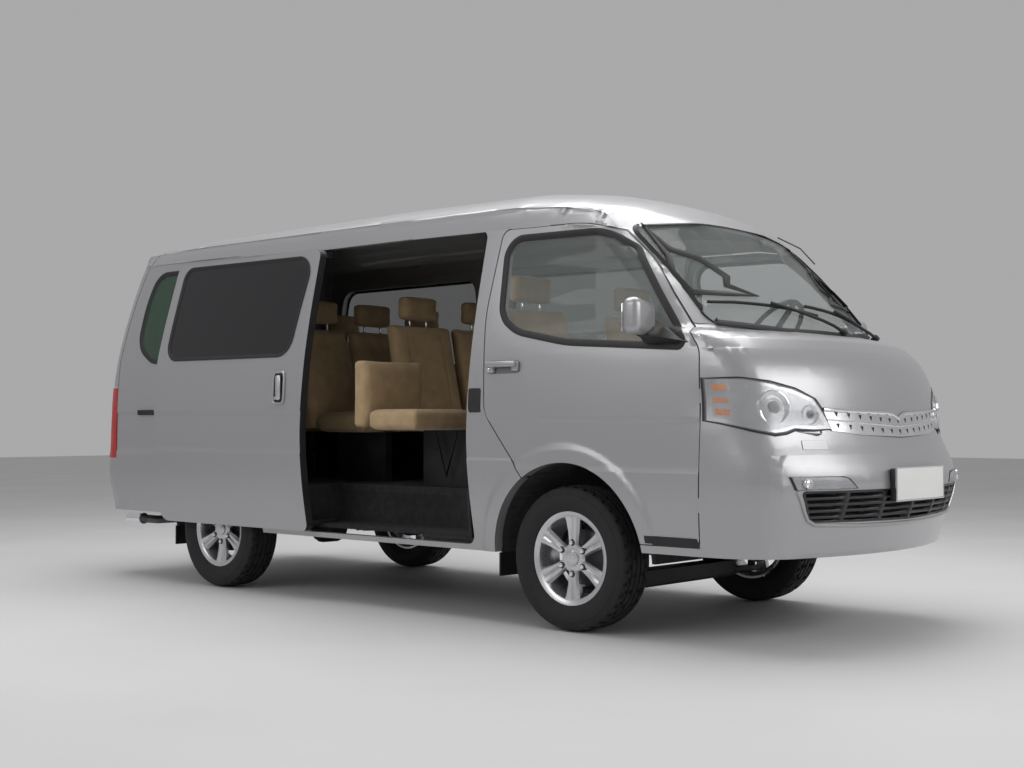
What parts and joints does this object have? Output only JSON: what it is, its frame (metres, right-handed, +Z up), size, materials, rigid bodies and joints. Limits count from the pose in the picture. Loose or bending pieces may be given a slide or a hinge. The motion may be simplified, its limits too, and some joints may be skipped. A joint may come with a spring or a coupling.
{
  "type": "minibus",
  "caption": "One-box minibus with a right sliding door standing open, hinged front doors, lifting tailgate, steered front wheels and four rows of tan seats.",
  "frame": {"origin": "on the ground under the middle of the whole vehicle's box", "axes": "+Z up, the front faces -Y, the vehicle's right side with the open sliding door is towards -X"},
  "size_m": [2, 5.04, 2.085],
  "materials": {
    "body_paint": "silver metallic lacquer",
    "clear_glass": "lightly tinted safety glass",
    "dark_glass": "dark tinted safety glass",
    "chrome": "bright plated",
    "black_plastic": "grained black plastic",
    "lamp_lens": "clear lens",
    "red_lens": "red lens",
    "tyre_rubber": "matt tyre rubber",
    "alloy": "silver painted alloy",
    "cast_steel": "dark cast steel",
    "chassis_black": "black chassis paint",
    "bare_steel": "dull steel",
    "floor_mat": "black ribbed floor covering",
    "seat_fabric": "tan seat cloth",
    "dash_plastic": "grey dashboard"
  },
  "bodies": {
    "root": {"body_side_right": "body_paint", "body_side_left": "body_paint", "roof": "body_paint", "nose_panel": "body_paint", "front_bumper": "body_paint", "bumper_grille": "black_plastic", "chrome_grille": "chrome", "front_lamps": "lamp_lens", "windscreen": "clear_glass", "side_glass": "dark_glass", "sliding_door": "body_paint", "sliding_door_glass": "dark_glass", "rear_bumper": "body_paint", "tail_lamps": "red_lens", "front_suspension": "chassis_black", "rear_axle": "chassis_black", "powertrain": "cast_steel", "exhaust": "bare_steel", "fuel_tank": "black_plastic", "floor": "floor_mat", "chassis_rails": "chassis_black", "tow_eyes": "chassis_black", "door_runners": "bare_steel", "dashboard": "dash_plastic", "steering_wheel": "black_plastic", "front_seats": "seat_fabric", "passenger_seats": "seat_fabric", "seat_frames": "chassis_black", "mud_flaps": "black_plastic"},
    "front_door_right": {"front_door_right": "body_paint", "door_glass_right": "clear_glass", "mirror_right": "body_paint"},
    "front_door_left": {"front_door_left": "body_paint", "door_glass_left": "clear_glass", "mirror_left": "body_paint"},
    "tailgate": {"tailgate": "body_paint", "tailgate_glass": "dark_glass"},
    "knuckle_right": {"knuckle_right": "cast_steel"},
    "knuckle_left": {"knuckle_left": "cast_steel"},
    "wheel_front_right": {"tyre_front_right": "tyre_rubber", "rim_front_right": "alloy"},
    "wheel_front_left": {"tyre_front_left": "tyre_rubber", "rim_front_left": "alloy"},
    "wheel_rear_right": {"tyre_rear_right": "tyre_rubber", "rim_rear_right": "alloy"},
    "wheel_rear_left": {"tyre_rear_left": "tyre_rubber", "rim_rear_left": "alloy"}
  },
  "joints": [
    {"name": "front_door_right_hinge", "type": "hinge", "parent": "root", "child": "front_door_right", "pos_m": [-0.87, -1.985, 1], "axis": [0, 0, 1], "range_deg": [0, 65]},
    {"name": "front_door_left_hinge", "type": "hinge", "parent": "root", "child": "front_door_left", "pos_m": [0.87, -1.985, 1], "axis": [0, 0, -1], "range_deg": [0, 65]},
    {"name": "tailgate_hinge", "type": "hinge", "parent": "root", "child": "tailgate", "pos_m": [0, 2.015, 2.052], "axis": [1, 0, 0], "range_deg": [0, 85]},
    {"name": "steer_right", "type": "hinge", "parent": "root", "child": "knuckle_right", "pos_m": [-0.673, -1.255, 0.325], "axis": [0, 0, 1], "range_deg": [-32, 32]},
    {"name": "steer_left", "type": "hinge", "parent": "root", "child": "knuckle_left", "pos_m": [0.673, -1.255, 0.325], "axis": [0, 0, 1], "range_deg": [-32, 32]},
    {"name": "wheel_front_right_spin", "type": "hinge", "parent": "knuckle_right", "child": "wheel_front_right", "pos_m": [-0.735, -1.255, 0.325], "axis": [1, 0, 0], "continuous": true},
    {"name": "wheel_front_left_spin", "type": "hinge", "parent": "knuckle_left", "child": "wheel_front_left", "pos_m": [0.735, -1.255, 0.325], "axis": [1, 0, 0], "continuous": true},
    {"name": "wheel_rear_right_spin", "type": "hinge", "parent": "root", "child": "wheel_rear_right", "pos_m": [-0.735, 1.335, 0.325], "axis": [1, 0, 0], "continuous": true},
    {"name": "wheel_rear_left_spin", "type": "hinge", "parent": "root", "child": "wheel_rear_left", "pos_m": [0.735, 1.335, 0.325], "axis": [1, 0, 0], "continuous": true}
  ],
  "couplings": [
    {"joint": "steer_left", "follows": "steer_right", "ratio": 1}
  ]
}
